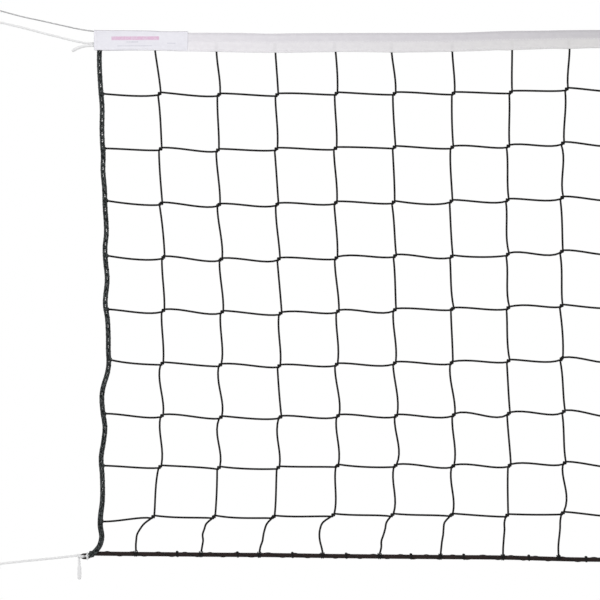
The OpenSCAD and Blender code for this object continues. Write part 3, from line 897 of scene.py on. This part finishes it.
def make_side_rope(side, attached):
    """A braided core and the netting's edge twine, laced together with small openings between them,
    and a hitch of each row of twine that is attached."""
    line = resampled(smooth(np.vstack([in_space(SIDE_LINE), CURL]) + [SIDE_SHIFT, 0, 0], 2), SIDE_STEP)
    along = np.arange(len(line)) * SIDE_STEP
    a = along * TAU / LACE_PITCH
    closed_up = 1 - 0.55 * eased(-line[:, 2], 320, 620) - 0.25 * eased(-line[:, 2], 820, 870)
    open_lace = default_rng(44).uniform(0.1, 1.15, len(line))[(along / LACE_PITCH).astype(int)]
    gap = 2.0 * open_lace * closed_up * np.maximum(0, -np.cos(a)) ** 0.8
    thick = 1 + 0.2 * eased(-line[:, 2], 780, 840)
    build = Build()
    across, up = (f[0] for f in frames(line[None]))
    inner = np.where(up[:, :1] < 0, -up, up)
    tubes(build, line - inner * (2.15 + 0.18 * gap)[:, None], (2.25 - 0.18 * gap) * thick, sides=16,
          share=braid(3, 7, 0.14))
    tubes(build, line + inner * (2.1 + 0.33 * gap)[:, None], (2.35 - 0.33 * gap) * thick, sides=12,
          seeds=0.5, share=three_strands, lay=6)
    fine = resampled(line, 0.8)
    across, up = (f[0] for f in frames(fine[None]))
    a = (TAU * travel(fine) / LACE_PITCH)[:, None]
    lacing = fine + LACE_R * np.cos(a) * across + LACE_R * np.sin(a) * up
    lacing[:, 1] = (lacing[:, 1] - fine[:, 1]) * 0.78 + fine[:, 1]
    tubes(build, lacing, 0.85, seeds=0.8)
    a = np.linspace(0, TAU * 2.2, 36)
    ring = xyz(0.5 + 4.1 * np.cos(a), 3.3 * np.sin(a), 1.1 * (a / TAU - 1.1) * 2)
    for z in attached:
        tubes(build, line[np.argmin(np.abs(line[:, 2] - z))] + ring, 1.1, seeds=0.2)
    build.piece("side_rope_laced", black_cord, "side_rope", "side_rope", side)


def make_bottom_rope():
    n = int((BAND_L - 2 * ROPE_END) / ROPE_STEP)
    x = np.linspace(ROPE_END, BAND_L - ROPE_END, n)
    rng = default_rng(40)
    at = np.arange(0, n, 45)
    z = np.interp(np.arange(n), at, rng.normal(0, 0.3, len(at)))
    near = np.minimum(x, BAND_L - x)
    z = z - 0.4 - 1.6 * eased(near, 650, 850) * (1 - eased(near, 1100, 1900))
    path = xyz(x, 0, z - NET_DROP)
    rope = tubes(Build(), path, ROPE_R, sides=15, lay=ROPE_LAY, share=three_strands)
    rope.piece("bottom_rope_twisted", rope_black, "bottom_rope", "bottom_rope")
    build = Build()
    fine = resampled(path[10:-10], WRAP_STEP)
    at = np.arange(0, len(fine), 18)
    pitch = np.interp(np.arange(len(fine)), at, rng.uniform(0.75, 1.25, len(at)))
    a = np.cumsum(pitch) * TAU * WRAP_STEP / WRAP_PITCH
    tubes(build, fine + xyz(0, WRAP_R * np.cos(a), WRAP_R * np.sin(a)), 0.75, sides=5)
    places = SIDE_INSET + MESH * (np.arange(1, MESHES - 1) + rng.uniform(0.24, 0.44, MESHES - 2))
    tied = path[((places - ROPE_END) / ROPE_STEP).astype(int)][:, None]
    a = np.linspace(0.4, TAU * 1.9, 30)
    tubes(build, tied + xyz(a * 0.25 - 1.5, 4.1 * np.cos(a), 4.1 * np.sin(a)), 0.85)
    tubes(build, tied + KNOT_OVER, 0.9)
    build.piece("bottom_rope_lacing", twine, "twine")


make_bottom_rope()
for side in SIDES:
    make_side_rope(side, row_heights)

# ---- Headband ----

BAND_START, SEAM_Z, BAND_LOW, BAND_FLAT_W = 72, -11.3, -29.0, 76
BAND_STITCHES = [(SEAM_Z, 5.2, 4.1), (-25.6, 5.6, 4.4)]  # height, pitch and length
HEM_RISE = [(0, 2.2), (115, 2.2), (140, 1.1), (175, 0.8), (216, 0.2), (257, -0.6), (298, 0.2), (339, -0.3),
    (420, 0.5), (461, 0.2), (510, -0.8), (583, 0.1), (624, 0.8), (664, 0.3), (685, 0.8), (705, -0.3), (745, 0.8),
    (775, 1.7), (806, 0.6), (846, 2.0), (1000, 0.5), (1400, 0)]
CLOTH = [(-9, 1.2), (-5, 0.75)]
BAND_SIDE = [(-29.0, 2.7), (-28.8, 2.9), (-27.2, 3.0), (-24.4, 2.95), (-23.6, 2.75), (-22.0, 2.8), (-18.5, 2.95),
    (-15.0, 2.95), (-12.8, 2.85), (-11.8, 2.75), (-11.3, 2.7), (-10.8, 2.75), (-9.8, 2.85), (-7.0, 3.0),
    (-4.0, 3.1), (-1.0, 3.0), (1.2, 2.6), (2.5, 1.9), (3.2, 1.0), (3.4, 0.0)]


def cloth_sections(side, cloth, low, count):
    """So many copies of a folded strip's outline as [y, z], up one face and down the other, then back
    along the inside. cloth is its thickness, as (height, thickness) pairs."""
    out = np.array([(y, z) for z, y in side] + [(-y, z) for z, y in side[-2::-1]], float)
    normal = np.gradient(out, axis=0)
    normal = unit(np.stack([-normal[:, 1], normal[:, 0]], -1))
    thick = read_off(cloth, out[:, 1:])
    inner = out + normal * thick
    inner[:, 1] = np.maximum(inner[:, 1], low)
    inner[0], inner[-1] = out[0] - [0.8 * thick[0, 0], 0], out[-1] + [0.8 * thick[-1, 0], 0]
    profile = np.concatenate([out, inner[::-1]])
    return np.broadcast_to(profile, (count, *profile.shape)).copy()


def folded_cloth(x, section, third=None, lift=0.0):
    """The mesh of a folded cloth through sections (x, count, [y, z]). third takes y's place in the lay,
    and the lay's height leaves out lift."""
    build = Build()
    points = np.concatenate([np.broadcast_to(x[:, None, None], (*section.shape[:2], 1)), section], -1)
    n, m, _ = points.shape
    index = np.arange(n * m).reshape(n, m)
    ring = np.concatenate([index, index[:, :1]], 1)
    faces = np.stack([ring[:-1, :-1], ring[:-1, 1:], ring[1:, 1:], ring[1:, :-1]], -1)
    flat = points.reshape(-1, 3)
    lays = flat[faces][..., [0, 2, 1]]
    lays[..., 1] = (points[..., 2] - lift).ravel()[faces]
    if third is not None:
        lays[..., 2] = third.ravel()[faces]
    build.add(points, faces, lays)
    for cut, way in ((index[0], -1), (index[-1], 1)):
        outer, inner = cut[:m // 2], cut[:m // 2 - 1:-1]
        faces = np.stack([outer[:-1], outer[1:], inner[1:], inner[:-1]], -1)[:, ::way]
        build.cover(faces, flat[faces][..., [0, 2, 1]])
    return build


def waves(rng, x, spacing):
    """A smooth random line with so many mm between its swings, as a column."""
    at = np.arange(x.min() - 3 * spacing, x.max() + 3 * spacing, spacing)
    v = rng.normal(0, 1, len(at))
    k = np.clip(((x - at[0]) / spacing).astype(int), 1, len(at) - 3)
    return catmull(v[k - 1], v[k], v[k + 1], v[k + 2], (x - at[k]) / spacing)[:, None]


def bell(v, middle, width):
    """1 at the middle, and less the farther away."""
    return np.exp(-((v - middle) / width)**2)


def band_places():
    """Places along the band, closer together where an upright twine lies in the fold."""
    offsets = np.array([-38, -26, -15, -8, -4, -1.5, 1.5, 4, 8, 15, 26, 38, 50])
    x = (knots[0, 1:-1, 0][:, None] + offsets).ravel()
    x = x[(x > BAND_START + 2) & (x < BAND_L - BAND_START - 2)]
    return np.concatenate([[BAND_START], x, [BAND_L - BAND_START]])


def make_headband():
    x = band_places()
    rng = default_rng(50)
    section = cloth_sections(BAND_SIDE, CLOTH, BAND_LOW, len(x))
    nearest = np.min(np.abs(x[:, None] - knots[0, 1:-1, 0]), axis=1)[:, None]
    z = section[..., 1]
    front = np.sign(section[..., 0])
    lower = eased(-z, 11.5, 15) * (1 - 0.3 * eased(-z, 23, 29))
    push = lower * (0.32 * bell(nearest, 0, 3.2) + 0.28 * waves(rng, x, 34))
    upper = (1 - eased(-z, 8, 11)) * eased(3 - z, 0, 3)
    push = push + upper * (0.16 * waves(rng, x, 27))
    pinch = bell(z, SEAM_Z, 1.0) * 0.14 * np.sin(x * TAU / 4.0)[:, None]
    section[..., 0] += front * (push - pinch)
    section[..., 0] += eased(-z, 10, 29) * (0.5 * waves(rng, x, 120))
    near = np.minimum(x, BAND_L - x)[:, None]
    hem = read_off(HEM_RISE, near) + 0.45 * waves(rng, x, 60) * eased(near, 800, 1100)
    section[..., 1] += eased(-z, 14, 29) * hem
    lift = band_sag(x)[:, None]
    section[..., 1] += lift
    build = folded_cloth(x, section, lower * bell(nearest, 0, 2.2), lift)
    band = build.piece("headband_cloth", band_cloth, "headband", "headband")
    build = Build()
    for z, pitch, long in BAND_STITCHES:
        at = np.arange(PATCH_L + 2, BAND_L - PATCH_L - 2, pitch)
        stitches(build, section, x, at, z + band_sag(at), (1, 0), long, 0.24)
    build.piece("headband_stitches", thread, "headband")
    return band


# ---- End patches ----

PATCH_L, PATCH_TOP, PATCH_LOW, PATCH_HALF, PATCH_CLOTH = 161, 8.3, -26.8, 4.8, [(0, 0.7)]
TOP_EDGE = [(0, 8.3), (25, 7.7), (60, 7.4), (97, 6.9), (113, 5.8), (127, 5.4), (145, 5.6), (161, 5.6)]
LOW_EDGE = [(0, -26.8), (22, -27.2), (42, -27.0), (58, -26.4), (85, -26.6), (115, -26.9), (145, -28.0),
    (161, -28.3)]
PATCH_HEMS, PATCH_PITCH, PATCH_STITCH, PATCH_THREAD, PATCH_FLAT_W = (5.0, 156.0), 3.2, 2.4, 0.22, 84


def patch_side():
    """Half of the folded patch's outline, from its low edge to its round top, as (z, y)."""
    rise = 3.6
    middle = PATCH_TOP - rise
    low = [(PATCH_LOW + z, y) for z, y in [(0, 4.6), (0.2, 4.75), (2.0, 4.8), (4.2, 4.75), (4.9, 4.55)]]
    flat = [(z, 4.6 + 0.2 * math.sin((z - PATCH_LOW) / 31 * math.pi))
            for z in np.linspace(PATCH_LOW + 7, middle, 9)]
    top = [(middle + rise * math.sin(a), PATCH_HALF * math.cos(a)) for a in np.linspace(0.15, math.pi / 2, 9)]
    return low + flat + top


def stitches(build, section, x, along, height, way, long, radius):
    """Stitches on both faces of a folded cloth, at places along it and heights. way is (1, 0) for level
    ones and (0, 1) for upright ones."""
    t, lift = np.array([-0.5, -0.3, 0.3, 0.5]), np.array([-0.35, 0, 0, -0.35])
    half = section.shape[1] // 4
    for face, run in ((1, slice(None, half + 1)), (-1, slice(2 * half, half - 1, -1))):
        px = along[:, None] + t * long * way[0]
        pz = height[:, None] + t * long * way[1]
        k = np.clip(np.searchsorted(x, px.ravel()), 0, len(x) - 1)
        y = [np.interp(v, section[i, run, 1], section[i, run, 0]) for v, i in zip(pz.ravel(), k)]
        y = np.reshape(y, px.shape) + face * (0.1 + lift)
        tubes(build, xyz(px, y, pz), radius, sides=4)


def make_end_patch(side):
    rng = default_rng(60 + SIDES.index(side))
    x = np.unique(np.concatenate([np.linspace(*run) for run in ((0, 24, 17), (24, 150, 64), (150, PATCH_L, 9))]))
    section = cloth_sections(patch_side(), PATCH_CLOTH, PATCH_LOW, len(x))
    z = section[..., 1]
    row = x[:, None]
    boss = bell(row, SIDE_INSET, 5.0) * eased(-z, 19, 22.5) * 0.75
    pinch = eased(row, 140, PATCH_L) * 0.33
    billow = 0.35 * waves(rng, x, 40) * np.sin(np.clip((z - PATCH_LOW) / 36, 0, 1) * math.pi)
    hem = sum(-0.25 * bell(row, x0, 0.8) for x0 in PATCH_HEMS)
    section[..., 0] += section[..., 0] / PATCH_HALF * (boss + billow + hem) - section[..., 0] * pinch
    top, low = (read_off(edge, row) for edge in (TOP_EDGE, LOW_EDGE))
    section[..., 1] = low + (z - PATCH_LOW) * (top - low) / (PATCH_TOP - PATCH_LOW)
    section[..., 1] += eased(-z, 5, 26) * 0.25 * waves(rng, x, 50)
    patch = folded_cloth(x, section).piece("end_patch_cloth", patch_cloth, "end_patch", "end_patch", side)
    build = Build()
    at = np.arange(3, PATCH_L - 3, PATCH_PITCH)
    stitches(build, section, x, at, read_off(LOW_EDGE, at) + 2.1, (1, 0), PATCH_STITCH, PATCH_THREAD)
    for x0 in PATCH_HEMS:
        up = np.arange(read_off(LOW_EDGE, x0) + 3, read_off(TOP_EDGE, x0) - 3, PATCH_PITCH)
        stitches(build, section, x, np.full(len(up), x0), up, (0, 1), PATCH_STITCH, PATCH_THREAD)
    bar = np.array([[TURN_X, y, TURN_Z] for y in np.linspace(-4.6, 4.6, 8)])
    tubes(build, bar, 0.6, sides=10, lobes=strands(5, 0.15, 2), lay=4)
    build.piece("end_patch_stitches", thread, "end_patch", side=side)
    return patch


# ---- Lower corners ----

LASH_TURNS = 4.6
CORNER_EYE = [(-4, 0.4, -2.2), (-8, 0.2, -1.8), (-11.2, 0, -2.0), (-15, -0.6, -2.0), (-19.2, -1.2, -2.6),
    (-21.4, -1.4, -5.4), (-19.4, -1.2, -8.2), (-15, -0.8, -9.1), (-11.2, 0, -8.7), (-8, 0.2, -7.6), (-4, 0.4, -5.4)]
HALF_BIGHT = [(-24.5, -1.4, -0.4), (-22.6, -3.4, -0.6), (-20.2, -4.0, -0.7), (-17.8, -2.2, -0.8),
    (-16.4, 0.4, -0.8), (-15.2, 2.8, -2.2), (-13.4, 3.2, -3.8), (-11.6, 1.8, -4.8), (-10.8, -1.2, -5.2),
    (-10.5, -3.6, -3.8)]


def make_corner(side):
    """The lashing, the black rope's eye, and the white rope's hitch through it."""
    z = -NET_DROP
    build = Build()
    t = np.linspace(0, 1, 110)
    a = TAU * LASH_TURNS * t
    turns = xyz(-0.1 - 6.8 * t, -3.6 + 8.2 * np.sin(a), z - 1.2 + 4.4 * np.cos(a))
    tubes(build, turns, 1.1, sides=8)
    tubes(build, turns[::-1] + [0.6, 0, 0], 1.0, sides=8, seeds=0.4)
    build.piece("corner_lashing_twine", black_cord, "side_rope", "corner_lashing", side)
    eye = tubes(Build(), smooth(np.add(CORNER_EYE, [0, 0, z]), 1.0), 1.7, sides=16, share=braid(3, 6, 0.16))
    eye.piece("corner_eye_rope", rope_black, "bottom_rope", "corner_eye", side)
    build = Build()
    across = CORNER_Z - 0.8
    bight = [(x, y, across - dz) for x, y, dz in HALF_BIGHT] + [(-10.5, -3.9, across)]
    bight += [(x, y, across + dz) for x, y, dz in HALF_BIGHT[::-1]]
    braided(build, smooth(bight, 1.0), [(0, 1.6), (0.4, 1.6), (0.47, 2.0), (0.53, 2.0), (0.6, 1.6), (1, 1.6)], 0.2)
    middle = (HITCH_IN + HITCH_OUT) / 2
    braided(build, knot_turns((middle, CORNER_Z - 0.4), (1, 0), 6.8, 8.0, 2.4, 1.7), 1.7, 0.5)
    build.piece("corner_hitch_rope", white_cord, "tie_rope", "corner_hitch", side)


make_headband()
for side in SIDES:
    make_end_patch(side)
    make_corner(side)
